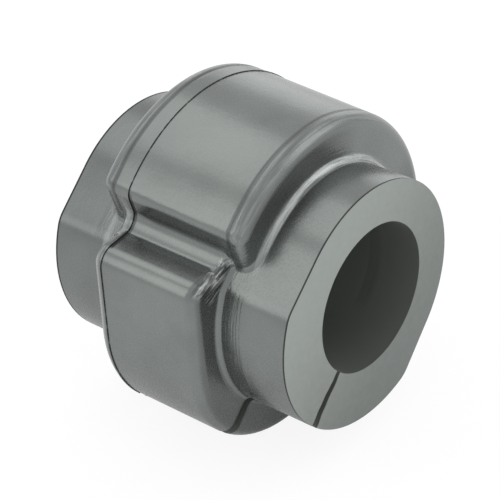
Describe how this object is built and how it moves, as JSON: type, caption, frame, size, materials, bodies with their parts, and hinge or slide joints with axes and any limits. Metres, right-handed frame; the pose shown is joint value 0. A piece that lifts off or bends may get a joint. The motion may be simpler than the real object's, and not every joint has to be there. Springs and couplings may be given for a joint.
{
  "type": "sway bar bushing",
  "caption": "Split rubber bushing for a sway bar: a sleeve with a round dome, a seat block with two flats, side grooves and a slit into the bore.",
  "frame": {"origin": "on the bore's axis, halfway along it", "axes": "+X along the bore; -Z and -Y out of the two seat flats, which are square to each other, so the part lies on one of them; the dome's crown points between +Y and +Z and the slit between -Y and -Z"},
  "size_m": [0.0466, 0.054, 0.054],
  "materials": {
    "rubber": "satin moulded rubber, dark grey"
  },
  "bodies": {
    "root": {"bushing": "rubber"}
  },
  "joints": []
}
